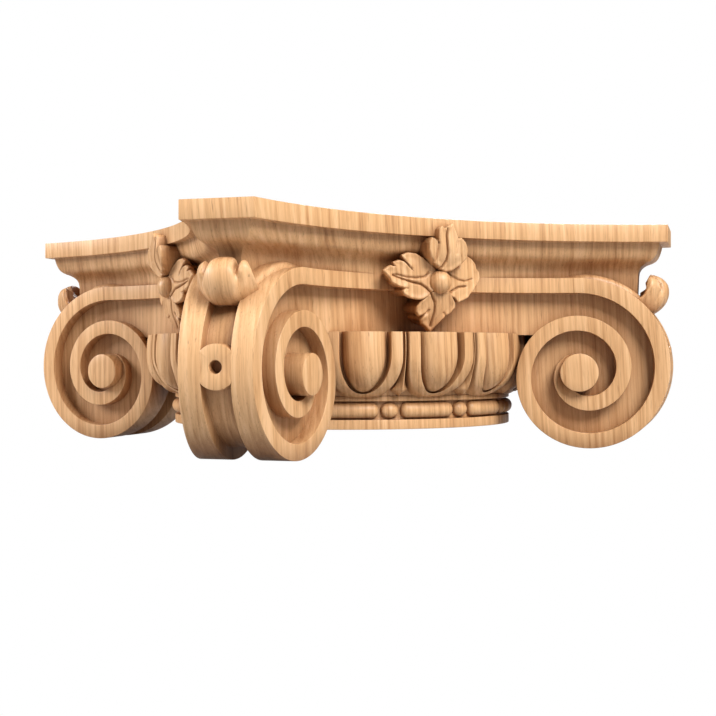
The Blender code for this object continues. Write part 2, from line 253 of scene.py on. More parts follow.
def make_abacus():
    """Abacus whose neck dips towards the corners, behind the husks."""
    half = ABACUS_WIDTH / 2
    chord = half - ABACUS_CORNER_WIDTH / sqrt(2)
    radius = (chord ** 2 + ABACUS_HOLLOW ** 2) / (2 * ABACUS_HOLLOW)
    centre = half - ABACUS_HOLLOW
    reach = sqrt(2) * half - ABACUS_CORNER_WIDTH / 2
    profile = rounded(abacus_profile() + [(6.0, ABACUS_TOP)], 0.3, 2)
    rings = []
    for inset, level in profile:
        ring = np.array(hollow_square(centre - inset, radius + inset, reach - inset, level))
        if level < BAND_TOP - 0.5:
            diagonal = (np.abs(ring[:, 0]) + np.abs(ring[:, 1])) / sqrt(2)
            drop = np.clip((diagonal - NECK_DROP_START) / NECK_DROP_RUN, 0, 1)
            ring[:, 2] -= NECK_DROP * drop * drop * (3 - 2 * drop)
        rings.append(ring)
    return swept("abacus", rings, crease=30)


# Volutes.

def spiral(turn_angle):
    """Radius of the volute's outer edge, which closes on the eye in two turns."""
    return EYE_RADIUS * (VOLUTE_START - (VOLUTE_START - 1) * turn_angle / (2 * tau))


def on_volute(point, side, lift=0.0):
    """Place (outward, up) in a volute's plane, in the corner's frame, whose +X runs out on the diagonal."""
    out, up = point
    x = VOLUTE_REACH + out * cos(VOLUTE_FLARE) + lift * sin(VOLUTE_FLARE)
    y = side * (PAIR_THICKNESS / 2 - out * sin(VOLUTE_FLARE) + lift * cos(VOLUTE_FLARE))
    return (x, y, EYE_LEVEL + up)


def ray(turn_angle, radius):
    return (radius * sin(turn_angle), radius * cos(turn_angle))


def level_crossing(height):
    """Angle in the last quarter of the first turn at which the outer edge climbs to a height."""
    low, high = 1.5 * pi, 2 * pi
    for _ in range(40):
        middle = (low + high) / 2
        if spiral(middle) * cos(middle) < height:
            low = middle
        else:
            high = middle
    return low


# Where the rims pass into the band's lower edge.
JOIN = level_crossing(BAND_BOTTOM - EYE_LEVEL + 1.5)


def rim_section(angle):
    """Across both faces of the pair at one angle: channel wall, fillet, rim, groove and back again."""
    outer = spiral(angle) - RIM_INSET
    inner = outer - FILLET_WIDTH
    half = []
    for radius, lift in rounded([(inner, -CHANNEL_DEPTH - 0.6), (inner, 0.0), (outer, 0.0)])[:-1]:
        half.append(on_volute(ray(angle, radius), 1, lift))
    edge = on_volute(ray(angle, outer), 1)
    wide = edge[1]
    fade = min(1.0, max(0.0, (angle + 0.1) / 0.25))
    depth = RIM_GROOVE_DEPTH * fade
    groove = RIM_GROOVE_WIDTH / 2
    rim = rounded([(wide + 0.001, 0.6), (wide, 0.0), (groove, 0.0), (groove, depth + 0.01),
                   (0.0, depth + 0.011)])[1:-1]
    for lateral, sink in rim:
        out, up = ray(angle, outer - sink)
        half.append((VOLUTE_REACH + out * cos(VOLUTE_FLARE), lateral, EYE_LEVEL + up))
    return half + [(x, -y, z) for x, y, z in half[::-1]]


def make_pair_body():
    """Rims of both volutes of a corner, with the groove between them."""
    angles = np.linspace(0.0, JOIN, 151)
    sections = [rim_section(angle) for angle in angles]
    first = [(x - 2.0, y, z) for x, y, z in sections[0]]
    return swept("volute_rim", [first] + sections, crease=33)


def make_web():
    """Floor of both channels, as one slab between the two faces."""
    angles = np.linspace(0.0, tau, 181)
    outline = [ray(angle, spiral(angle) - WEB_INSET) for angle in angles]
    outline = [(-0.4, outline[0][1])] + outline + [(-0.4, outline[-1][1])]
    count = len(outline)
    points = []
    faces = []
    for side in (1, -1):
        points += [on_volute(point, side, -CHANNEL_DEPTH) for point in outline]
        points.append(on_volute((0, 0), side, -CHANNEL_DEPTH))
    centre = (count, 2 * count + 1)
    for i in range(count):
        j = (i + 1) % count
        faces.append((i, j, centre[0]))
        faces.append((count + 1 + j, count + 1 + i, centre[1]))
        faces.append((i, count + 1 + i, count + 1 + j, j))
    return mesh_of("volute_web", points, faces, crease=38)


def inner_fillet_section(angle, side):
    """The fillet where it stands free on the channel's floor, sinking and thinning towards the eye."""
    outer = spiral(angle) - RIM_INSET
    inner = outer - FILLET_WIDTH
    fade = max(0.0, (angle - FREE_FILLET_START) / (4 * pi - FREE_FILLET_START))
    inner = max(inner, EYE_RADIUS - 1.4 - 1.2 * fade)
    lift = -6.2 * fade ** 1.6
    floor = -CHANNEL_DEPTH - 0.8
    slope = -2.6 * min(1.0, fade * 3)
    if outer - inner < 0.9:
        inner = outer - 0.9
    loop = rounded([(inner, floor), (inner, lift + slope), (outer, lift), (outer, floor)])
    return [on_volute(ray(angle, radius), side, height) for radius, height in loop]


def make_inner_fillets():
    """One mesh for each face of the pair."""
    meshes = []
    for side in (1, -1):
        angles = np.linspace(JOIN - 0.06, 4 * pi - 0.05, 170)
        sections = [inner_fillet_section(angle, side) for angle in angles]
        meshes.append(swept("volute_fillet", sections, crease=33))
    return meshes


def make_eyes():
    """A plain round boss with an eased edge for each face of the pair."""
    meshes = []
    for side in (1, -1):
        loops = []
        for radius, lift in ((EYE_RADIUS, -CHANNEL_DEPTH - 1), (EYE_RADIUS, EYE_PROUD - 0.45),
                             (EYE_RADIUS - 0.14, EYE_PROUD - 0.13), (EYE_RADIUS - 0.45, EYE_PROUD),
                             (EYE_RADIUS * 0.5, EYE_PROUD)):
            loop = []
            for step in range(72):
                angle = tau * step / 72
                loop.append(on_volute((radius * cos(angle) - EYE_SHIFT, radius * sin(angle)), side, lift))
            loops.append(loop)
        meshes.append(swept("volute_eye", loops, crease=33))
    return meshes


def make_button():
    """Pierced disc between the groove's walls, level with the rims."""
    face = VOLUTE_REACH + spiral(pi / 2) * cos(VOLUTE_FLARE) - 0.35
    level = EYE_LEVEL + BUTTON_RISE
    limit = RIM_GROOVE_WIDTH / 2 + 0.2
    steps = 96
    loops = []
    # Radius, depth, and whether the groove's walls cut the ring.
    rows = [(0.0, -9.0, 0), (BUTTON_HOLE_RADIUS, -8.6, 0), (BUTTON_HOLE_RADIUS, -0.4, 0),
            (BUTTON_HOLE_RADIUS + 0.12, -0.1, 0), (BUTTON_HOLE_RADIUS + 0.4, 0.0, 0),
            (BUTTON_RADIUS - 0.4, 0.0, 1), (BUTTON_RADIUS - 0.1, -0.12, 1), (BUTTON_RADIUS, -0.4, 1),
            (BUTTON_RADIUS, -8.0, 1)]
    for radius, depth, clipped in rows:
        loop = []
        for step in range(steps):
            angle = tau * step / steps
            reach = radius
            if clipped:
                reach = min(radius, limit / max(abs(cos(angle)), 1e-6))
            loop.append((face + depth, reach * cos(angle), level + reach * sin(angle)))
        loops.append(loop)
    return swept("button", loops, crease=33)


# Band between the volutes.

def band_path():
    """Half of the front band's plan: x, y, and the unit normal towards the axis."""
    face_start = np.array(on_volute((0, 0), -1)[:2])
    turn = -pi / 4
    spin = np.array(((cos(turn), -sin(turn)), (sin(turn), cos(turn))))
    pole = spin @ face_start
    along = spin @ (np.array(on_volute((1, 0), -1)[:2]) - face_start)
    leave = 56.0
    swing = asin(leave / BAND_RADIUS)
    points = []
    for step in range(25):
        angle = swing * step / 24
        points.append((BAND_RADIUS * sin(angle), -BAND_CENTRE - BAND_RADIUS * (1 - cos(angle))))
    a = np.array(points[-1])
    tangent = np.array((cos(swing), -sin(swing)))
    b = pole - 4.0 * along
    length = np.linalg.norm(b - a)
    for step in range(1, 13):
        t = step / 12
        points.append(tuple((2 * t ** 3 - 3 * t * t + 1) * a + (t ** 3 - 2 * t * t + t) * tangent * length
                            + (-2 * t ** 3 + 3 * t * t) * b + (t ** 3 - t * t) * along * length))
    points.append(tuple(pole + 0.3 * along))
    points = np.array(points)
    ways = np.gradient(points, axis=0)
    ways[-1] = along
    ways[-2] = along
    ways[0] = (1, 0)
    ways /= np.linalg.norm(ways, axis=1)[:, None]
    normals = np.stack([-ways[:, 1], ways[:, 0]], axis=1)
    outwards = (points - pole) @ along
    return points, normals, outwards


def band_floor_bottom(out):
    """Lowest level of the band's floor: its own, or the middle of the fillet that crosses it."""
    angles = np.linspace(1.5 * pi, tau, 200)
    middles = np.array([spiral(angle) - FILLET_WIDTH / 2 for angle in angles])
    heights = np.interp(out, middles * np.sin(angles), middles * np.cos(angles))
    return max(BAND_BOTTOM, EYE_LEVEL + float(heights))


def make_band():
    """Sunk floor and raised top fillet along one whole face."""
    points, normals, outwards = band_path()
    sections = []
    for (x, y), (nx, ny), out in zip(points, normals, outwards):
        bottom = band_floor_bottom(out)
        low = [(CHANNEL_DEPTH, bottom), (CHANNEL_DEPTH, CHANNEL_TOP), (0.0, CHANNEL_TOP), (0.0, BAND_TOP),
               (26.0, BAND_TOP)]
        loop = [(26.0, bottom)] + rounded(low)
        sections.append([(x + nx * setback, y + ny * setback, level) for setback, level in loop])
    mirrored = [[(-x, y, z) for x, y, z in section] for section in sections[:0:-1]]
    return swept("band", mirrored + sections, crease=33)


# Egg course.

EGG_RISE = EGG_TOP - EGG_SHOULDER


def course_floor(z):
    """Radius of the ground between the carvings at a level."""
    share = np.clip((z - 14.5) / 21.5, 0.0, 1.0)
    draw_in = 0.5 * np.clip((z - EGG_SHOULDER) / EGG_RISE, 0, 2) ** 2
    return 89.0 + 9.0 * np.sin(0.5 * pi * share) ** 0.7 - draw_in


def shell_face(z):
    """Radius of a shell's front."""
    foot = 3.4 * np.clip((z - 13.0) / 7.0, 0.25, 1.0)
    return course_floor(z) + foot + 2.2 * np.clip((z - 18.0) / 14.0, 0.0, 1.0)


def egg_crest(z):
    """Radius of an egg along its spine."""
    return 105.4 - np.where(z > EGG_SHOULDER, 1.0, 0.5) * ((z - EGG_SHOULDER) / EGG_RISE) ** 2


def make_egg_cell():
    """One egg with its shell, from dart to dart, as rows that nest from the egg's spine outwards."""
    bends = np.linspace(0, pi / 2, 25)
    rises = np.linspace(0, 1, 7)[1:]
    pitch = EGG_ARC * pi / EGG_COUNT
    # Half-width, lowest level, roundness, what the row lies on, and how far it stands off that, or for the
    # egg the share of its own rise.
    rows = []
    for tilt in np.linspace(0, pi / 2, 15):
        share = sin(tilt)
        rows.append((10.5 * share, EGG_SHOULDER - 18.3 * share, 2.0, "egg", cos(tilt)))
    rows += [(10.7, 17.5, 2.0, "floor", -0.8), (11.4, 17.25, 2.1, "floor", -0.8),
             (11.65, 17.1, 2.15, "floor", 0.3), (11.75, 17.05, 2.2, "shell", -0.45),
             (11.9, 17.0, 2.2, "shell", -0.1), (12.2, 16.85, 2.2, "shell", 0.0),
             (14.6, 16.2, 2.4, "shell", 0.1), (17.0, 15.6, 2.6, "shell", 0.0),
             (17.3, 15.4, 2.62, "shell", -0.3), (17.5, 15.2, 2.65, "shell", -0.9),
             (17.8, 14.9, 2.7, "floor", -0.6), (18.1, 14.6, 2.8, "floor", -2.6),
             (pitch, 14.3, 9.0, "floor", -2.9)]
    points = []
    for width, bottom, power, kind, amount in rows:
        line = []
        for bend in bends:
            level = EGG_SHOULDER - (EGG_SHOULDER - bottom) * cos(bend) ** (2 / power)
            line.append((width * sin(bend) ** (2 / power), level))
        for rise in rises:
            line.append((width, EGG_SHOULDER + EGG_RISE * rise))
        line = [(-t, z) for t, z in line[:0:-1]] + line
        for t, z in line:
            floor = float(course_floor(z))
            if kind == "egg":
                radius = floor - 0.5 + (float(egg_crest(z)) - floor + 0.5) * amount
            elif kind == "floor":
                radius = floor + amount * min(1.0, (z - 13.5) / 6)
            else:
                radius = float(shell_face(z)) + amount
            angle = t / EGG_ARC - pi / 2
            points.append((radius * cos(angle), radius * sin(angle), z))
    columns = 2 * (len(bends) + len(rises)) - 1
    faces = grid_faces(len(rows), columns)
    first = len(points)
    edge = [i * columns for i in range(len(rows) - 1, 0, -1)]
    edge += [i * columns + columns - 1 for i in range(len(rows))]
    for index in edge:
        x, y, z = points[index]
        scale = EGG_BACK_RADIUS / sqrt(x * x + y * y)
        points.append((x * scale, y * scale, z))
    for k in range(len(edge) - 1):
        faces.append((edge[k], edge[k + 1], first + k + 1, first + k))
    return mesh_of("egg", points, faces, crease=42)


def make_dart():
    """Ridge between two shells, ending in an arrowhead."""
    # Level, half-width and the radius of the crest.
    stations = [(46.15, 1.0, 102.2), (41, 1.1, 102.7), (36, 1.2, 102.7), (31, 1.3, 102.0), (27, 1.5, 100.9),
                (23.4, 1.9, 99.8), (21.0, 2.7, 98.8), (19.4, 3.9, 97.8), (18.8, 4.2, 97.4), (18.0, 3.1, 96.5),
                (17.1, 1.4, 95.2), (16.2, 0.15, 93.6)]
    rows = smooth_curve(stations, 44)
    sections = []
    for z, half, crest in rows:
        floor = float(course_floor(z)) - 3.4
        base = min(floor, crest - 1.2)
        rise = crest - base
        side = [(half, base), (half * 0.97, base + 0.55 * rise), (half * 0.4, crest - 0.18 * rise),
                (0.16, crest - 0.05)]
        loop = [(-t, radius) for t, radius in side] + [(0.0, crest)] + side[::-1] + [(0.0, base - 2.0)]
        section = []
        for t, radius in loop:
            angle = t / EGG_ARC - pi / 2
            section.append((radius * cos(angle), radius * sin(angle), z))
        sections.append(section)
    return swept("dart", sections, crease=32)


# Neck and bead course.

def make_neck():
    """Neck ring, groove and fillet, turned round the axis, with the core that rises behind the eggs."""
    profile = [(40, 0.0), (NECK_RADIUS, 0.0), (NECK_RADIUS, NECK_RING_HEIGHT),
               (GROOVE_RADIUS, NECK_RING_HEIGHT + 0.1), (GROOVE_RADIUS, BEAD_TOP - 0.1),
               (NECK_RADIUS, BEAD_TOP), (NECK_RADIUS, FILLET_TOP), (84.0, FILLET_TOP + 0.1),
               (CORE_RADIUS, FILLET_TOP + 8), (CORE_RADIUS, BAND_BOTTOM + 0.5)]
    steps = 288
    rings = []
    for radius, level in rounded(profile):
        ring = []
        for k in range(steps):
            ring.append((radius * cos(tau * k / steps), radius * sin(tau * k / steps), level))
        rings.append(ring)
    return swept("neck", rings, crease=33)


def bead_mesh(name, half_angle, round_end, stations):
    """A bar lying round the neck in the middle of the front, or a ball where the end is longer than half."""
    middle = (NECK_RING_HEIGHT + BEAD_TOP) / 2
    base = NECK_RADIUS + BEAD_PROUD - BEAD_RADIUS
    half = half_angle * NECK_RADIUS
    sections = []
    for step in range(stations + 1):
        swing = pi * step / stations - pi / 2
        if round_end >= half:
            place = half * sin(swing)
            tube = BEAD_RADIUS * cos(swing)
        else:
            straight = half - round_end
            share = step / stations
            if share < 0.25:
                turn = pi / 2 * share / 0.25
                place = -straight - round_end * cos(turn)
                tube = BEAD_RADIUS * sin(turn)
            elif share > 0.75:
                turn = pi / 2 * (1 - share) / 0.25
                place = straight + round_end * cos(turn)
                tube = BEAD_RADIUS * sin(turn)
            else:
                place = straight * (share - 0.5) / 0.25
                tube = BEAD_RADIUS
        tube = max(tube, 0.02)
        angle = place / NECK_RADIUS - pi / 2
        loop = []
        for k in range(28):
            spin = tau * k / 28
            radius = base + tube * cos(spin)
            loop.append((radius * cos(angle), radius * sin(angle), middle + tube * sin(spin)))
        sections.append(loop)
    return swept(name, sections, crease=60)


# Flower.

# Each leaf in (x, z) from the ball's centre, seen from in front: outline, the middle it is drawn round, the
# level of its surface along its length, the way it points, and its cut lines as points, half-width and depth.
LEFT_LEAF = ([
    (0.0, 3.0), (-3.2, 7.0), (-5.5, 8.9), (-8.5, 11.0), (-12.4, 13.2), (-16.6, 13.7), (-20.2, 12.1),
    (-18.3, 9.8), (-16.1, 6.8), (-18.9, 9.2), (-21.4, 9.9), (-24.7, 8.8), (-23.5, 6.7), (-26.0, 7.4),
    (-29.9, 4.7), (-27.7, 2.8), (-26.2, 1.2), (-25.3, -0.7), (-22.0, -2.4), (-18.6, -3.5), (-19.8, -4.9),
    (-19.1, -6.2), (-16.1, -7.9), (-12.2, -8.7), (-9.5, -8.5), (-6.5, -6.9), (-3.4, -4.0), (0.0, 0.0)],
    (-9.7, 0.0), [(0, 14.0), (6, 14.3), (12, 14.0), (18, 13.2), (24, 12.3), (30, 11.5)], (-1, 0), [
    ([(-22.6, 3.0), (-18.0, 1.9), (-12.8, 1.6), (-8.2, 2.2), (-6.1, 4.2)], 0.5, 1.0),
    ([(-24.3, 2.7), (-19.6, 1.0), (-14.4, -0.5), (-10.1, -1.3), (-7.2, -3.0), (-4.2, -6.2)], 0.5, 1.5),
    ([(-16.1, 6.8), (-14.9, 5.9)], 0.6, 1.0),
    ([(-18.6, -3.5), (-17.2, -3.5)], 0.6, 1.0)])
RIGHT_LEAF = ([
    (0.0, 2.0), (1.0, 6.0), (4.0, 8.9), (7.6, 12.0), (12.1, 14.7), (16.6, 14.0), (21.0, 12.0), (23.4, 9.8),
    (23.7, 7.6), (25.6, 5.9), (26.2, 3.1), (25.0, 0.4), (22.8, -1.8), (21.3, -3.6), (19.0, -5.2),
    (17.9, -6.8), (14.4, -8.4), (11.0, -9.6), (8.4, -7.2), (4.6, -6.5), (2.0, -5.0), (0.0, -1.5)],
    (7.6, 1.0), [(0, 14.0), (6, 14.0), (12, 13.0), (18, 11.5), (23, 9.7), (28, 8.2)], (1, 0), [
    ([(20.6, 2.1), (15.6, 0.9), (11.2, 1.5), (7.0, 3.2), (4.6, 4.6)], 0.5, 1.0),
    ([(16.2, -1.5), (11.2, -2.1), (7.4, -3.9), (5.0, -5.6), (1.6, -6.4)], 0.5, 1.3),
    ([(11.1, 7.9), (11.2, 8.0)], 0.8, 3.0)])
BOTTOM_LEAF = ([
    (-1.0, -2.0), (-3.8, -4.5), (-7.2, -6.8), (-10.0, -9.6), (-11.5, -11.9), (-11.6, -14.2), (-10.0, -16.3),
    (-7.2, -15.7), (-8.2, -18.0), (-7.5, -19.8), (-4.8, -21.6), (-2.0, -24.2), (-0.6, -22.3), (0.9, -20.6),
    (3.2, -17.9), (4.8, -16.2), (7.4, -14.6), (9.6, -12.0), (9.5, -9.8), (7.6, -7.4), (6.2, -5.0),
    (3.0, -2.5)],
    (-0.5, -9.0), [(0, 13.8), (6, 13.9), (11, 13.1), (16, 11.6), (21, 9.4), (25, 7.6)], (0, -1), [
    ([(-5.6, -4.6), (-4.2, -6.2), (-2.0, -9.7), (-1.5, -14.0), (-2.4, -20.6)], 0.55, 1.6),
    ([(-7.2, -15.7), (-5.8, -15.0), (-5.0, -13.6)], 0.7, 1.1),
    ([(4.8, -16.2), (3.7, -14.6)], 0.6, 0.8)])
TOP_LEAF = ([
    (-2.4, 6.2), (-5.4, 8.0), (-8.4, 11.0), (-9.9, 14.4), (-9.8, 17.8), (-8.6, 20.4), (-7.0, 20.5),
    (-5.0, 17.8), (-4.6, 21.8), (-4.2, 24.6), (-3.0, 26.1), (-1.4, 25.0), (0.8, 25.6), (3.2, 27.5),
    (4.0, 25.4), (5.2, 22.2), (6.0, 20.4), (7.6, 20.9), (10.2, 18.8), (11.8, 15.4), (11.8, 11.6),
    (9.2, 8.2), (5.0, 5.2), (1.0, 4.4)],
    (0.4, 13.6), [(3, 15.6), (6, 17.4), (9, 19.1), (12, 20.5), (16, 21.3), (21, 21.1), (28, 20.3)], (0, 1), [
    ([(0.4, 24.8), (-0.1, 21.0), (0.1, 17.0), (0.7, 13.2), (0.4, 9.6), (-1.0, 7.0), (-3.0, 5.4)], 0.55, 1.7),
    ([(-5.0, 17.8), (-4.9, 15.0), (-5.2, 11.4), (-5.8, 9.0)], 0.65, 1.2),
    ([(6.2, 20.2), (5.6, 16.5), (5.6, 13.5)], 0.7, 0.7)])


def reach_round(outline, middle, count):
    """Distance from a middle point to the outline at evenly spaced headings."""
    outline = np.array(outline + outline[:1]) - np.array(middle)
    dense = []
    for a, b in zip(outline, outline[1:]):
        for t in np.linspace(0, 1, 30, endpoint=False):
            dense.append(a + (b - a) * t)
    dense = np.array(dense)
    headings = np.arctan2(dense[:, 1], dense[:, 0]) % tau
    order = np.argsort(headings)
    wanted = (np.arange(count) + 0.5) * tau / count
    reach = np.interp(wanted, headings[order], np.hypot(dense[:, 0], dense[:, 1])[order], period=tau)
    return (np.roll(reach, 1) + 2 * reach + np.roll(reach, -1)) / 4


def apart(x, z, line):
    """Distance of points from a broken line."""
    nearest = np.full(x.shape, 1e9)
    for (ax, az), (bx, bz) in zip(line, line[1:]):
        dx, dz = bx - ax, bz - az
        t = np.clip(((x - ax) * dx + (z - az) * dz) / max(dx * dx + dz * dz, 1e-9), 0, 1)
        nearest = np.minimum(nearest, np.hypot(x - ax - t * dx, z - az - t * dz))
    return nearest


def carved(x, z, height, outline, cuts):
    """The leaf's surface with its cut lines and its raised, eased edge."""
    edge = apart(x, z, outline + outline[:1])
    for line, width, depth in cuts:
        height = height - depth * np.exp(-(apart(x, z, line) / width) ** 1.6)
    height = height + 0.9 * np.exp(-(edge / 1.7) ** 2)
    return height - 0.9 * np.exp(-edge / 0.28)


def leaf_height(x, z, leaf):
    """How far a leaf's surface stands in front of the band's fillet."""
    outline, _, blade, way, cuts = leaf
    blade = smooth_curve(blade, 80)
    along = x * way[0] + z * way[1]
    across = np.abs(x * way[1] - z * way[0])
    level = np.interp(along, blade[:, 0], blade[:, 1])
    fall = 0.012 * np.clip(across - 3.0, 0, 20) ** 2
    return carved(x, z, level - fall, outline, cuts)


def make_leaf(name, leaf, walls, count=420, rows=36):
    """A leaf as one closed relief: rings from its middle out to its outline, then the side walls."""
    outline, middle = leaf[:2]
    reach = reach_round(outline, middle, count)
    headings = (np.arange(count) + 0.5) * tau / count
    shares = np.concatenate([np.linspace(0.02, 0.93, rows), np.linspace(0.95, 1.0, 7)])
    rings = []
    for share in shares:
        x = middle[0] + reach * share * np.cos(headings)
        z = middle[1] + reach * share * np.sin(headings)
        rings.append(np.stack([x, -(BAND_CENTRE + leaf_height(x, z, leaf)), FLOWER_LEVEL + z], axis=1))
    edge = rings[-1]
    for back, shrink in walls:
        ring = edge.copy()
        ring[:, 0] = middle[0] + (ring[:, 0] - middle[0]) * shrink
        ring[:, 2] = FLOWER_LEVEL + middle[1] + (ring[:, 2] - FLOWER_LEVEL - middle[1]) * shrink
        ring[:, 1] = np.minimum(ring[:, 1] + back, -FLOWER_BACK)
        rings.append(ring)
    return swept(name, np.array(rings), crease=55)


def mirrored(mesh):
    """The same leaf with left and right changed over."""
    mesh = mesh.copy()
    mesh.transform(Matrix.Diagonal((-1, 1, 1, 1)))
    mesh.flip_normals()
    return mesh


def make_flower():
    """Four leaves: the low ones are undercut, and the top one has nearly upright walls."""
    # How far behind the leaf's edge each ring of a wall lies, and its size as a share of the edge's.
    undercut = ((0.7, 1.0), (2.0, 0.97), (4.0, 0.82), (24.0, 0.66))
    upright = ((0.7, 1.0), (3.5, 0.985), (8.0, 0.93), (26.0, 0.86))
    return [make_leaf("leaf_left", LEFT_LEAF, undercut),
            make_leaf("leaf_right", RIGHT_LEAF, undercut),
            make_leaf("leaf_bottom", BOTTOM_LEAF, undercut),
            make_leaf("leaf_top", TOP_LEAF, upright)]


def make_flower_ball():
    rings = []
    for step in range(1, 25):
        tilt = pi * step / 25
        ring = []
        for k in range(48):
            spin = tau * k / 48
            ring.append((FLOWER_BALL_RADIUS * sin(tilt) * cos(spin),
                         -FLOWER_BALL_REACH - FLOWER_BALL_RADIUS * cos(tilt),
                         FLOWER_LEVEL + FLOWER_BALL_RADIUS * sin(tilt) * sin(spin)))
        rings.append(ring)
    return swept("flower_ball", rings, crease=60)


# Husk over each corner pair.

HUSK_AXIS = 158.0
# Middle lobe from its foot to its tip: share of the height, reach outwards and half-width.
HUSK_PROFILE = [(0.0, 6.9, 5.9), (0.06, 9.0, 8.0), (0.15, 11.2, 9.6), (0.28, 13.3, 10.9),
                (0.45, 14.6, 12.4), (0.60, 14.8, 13.3), (0.74, 14.2, 13.5), (0.88, 11.9, 12.8),
                (0.96, 9.2, 12.0), (1.0, 6.2, 11.4)]
HUSK_FOOT = 55.9
# Top edge: heading in degrees from the corner's own, and level.
HUSK_TOP = [(0, 76.1), (12, 76.0), (21, 75.6), (27, 74.5), (30.5, 73.0), (33.5, 72.3), (37, 73.0), (44, 74.1),
            (53, 74.5), (62, 74.1), (70, 72.6), (76, 70.2), (83, 67.6), (92, 65.4), (110, 63.5)]
# Crease beside the middle lobe: share of the height and heading in degrees.
HUSK_CREASE = [(0.0, 48), (0.27, 48), (0.5, 45), (0.7, 36), (0.85, 31.5), (1.0, 33.5)]


def make_husk_cup():
    """Three-lobed cup that curls over the corner."""
    profile = smooth_curve(HUSK_PROFILE, 44)
    tops = smooth_curve(HUSK_TOP, 200)
    creases = np.array(HUSK_CREASE)
    sections = []
    for heading in np.linspace(-110, 110, 133):
        top = float(np.interp(abs(heading), tops[:, 0], tops[:, 1]))
        c, s = cos(radians(heading)), sin(radians(heading))
        front = []
        for share, reach, half in profile:
            parting = float(np.interp(share, creases[:, 0], creases[:, 1]))
            fade = min(1.0, max(0.0, (share - 0.26) / 0.4))
            sink = 1.4 * fade * exp(-((abs(heading) - parting) / 5.0) ** 2)
            sink += 0.7 * fade * exp(-((abs(heading) - parting - 21) / 9.0) ** 2)
            flare = 3.0 * min(1.0, max(0.0, (abs(heading) - 33) / 14)) * max(0.0, (share - 0.55) / 0.45)
            level = HUSK_FOOT + share * (top - HUSK_FOOT)
            front.append((HUSK_AXIS + (reach - sink) * c + flare, (half - sink) * s, level))
        tip = np.array(front[-1])
        inward = np.array((-c, -s, 0.0))
        back = [tip + inward * 0.5 + (0, 0, -0.25), tip + inward * 0.7 + (0, 0, -0.8),
                tip + inward * 0.3 + (0, 0, -2.6), tip + inward * 0.6 + (0, 0, -4.6),
                tip + inward * 2.2 + (0, 0, -6.8), (HUSK_AXIS + 0.6 * c, 0.6 * s, top - 9.0),
                (HUSK_AXIS + 0.6 * c, 0.6 * s, HUSK_FOOT)]
        sections.append(front + [tuple(point) for point in back])
    return swept("husk_cup", sections, crease=50)


def make_husk_saddle():
    """Low swelling that runs back from the cup over the tops of both rims."""
    sections = []
    # Reach, half-width, level of the rims' tops and rise above them.
    ridge = [(112.0, 19.6, 73.4, 0.1), (118.0, 19.4, 73.6, 0.9), (125.0, 19.2, 73.7, 2.0),
             (VOLUTE_REACH, 18.6, 73.7, 2.6)]
    stations = [tuple(row) + (0.0,) for row in smooth_curve(ridge, 14)]
    last = 0.222 * pi
    for angle in np.linspace(0.02, last, 26):
        out, up = ray(angle, spiral(angle))
        run = angle / last
        stations.append((VOLUTE_REACH + out * cos(VOLUTE_FLARE), 18.6 - 8.4 * run ** 1.3, EYE_LEVEL + up,
                         2.6 - 1.2 * run ** 2, angle))
    for reach, half, level, rise, tilt in stations:
        nx, nz = sin(tilt), cos(tilt)
        loop = []
        for t in np.linspace(-1, 1, 21):
            lift = rise * (1 - abs(t) ** 9) ** 0.5
            loop.append((reach + nx * lift, t * half, level + nz * lift))
        for t in (1, -1):
            loop.append((reach - nx * 3.0, t * half * 0.98, level - nz * 3.0))
        sections.append(loop)
    return swept("husk_saddle", sections, crease=50)


# Oak, from the palest wood to the darkest streak.
WOOD_TONES = [(0.84, 0.52, 0.275), (0.74, 0.432, 0.208), (0.60, 0.32, 0.14), (0.42, 0.20, 0.08)]
TONE_PLACES = [0.0, 0.35, 0.7, 1.0]
PORE_TONE = (0.25, 0.11, 0.042)
# Colour multiplied into the wood as painted shade in the recesses.
PAINTED_SHADE_TINT = (0.40, 0.30, 0.23)
RING_SPACING = 0.0034


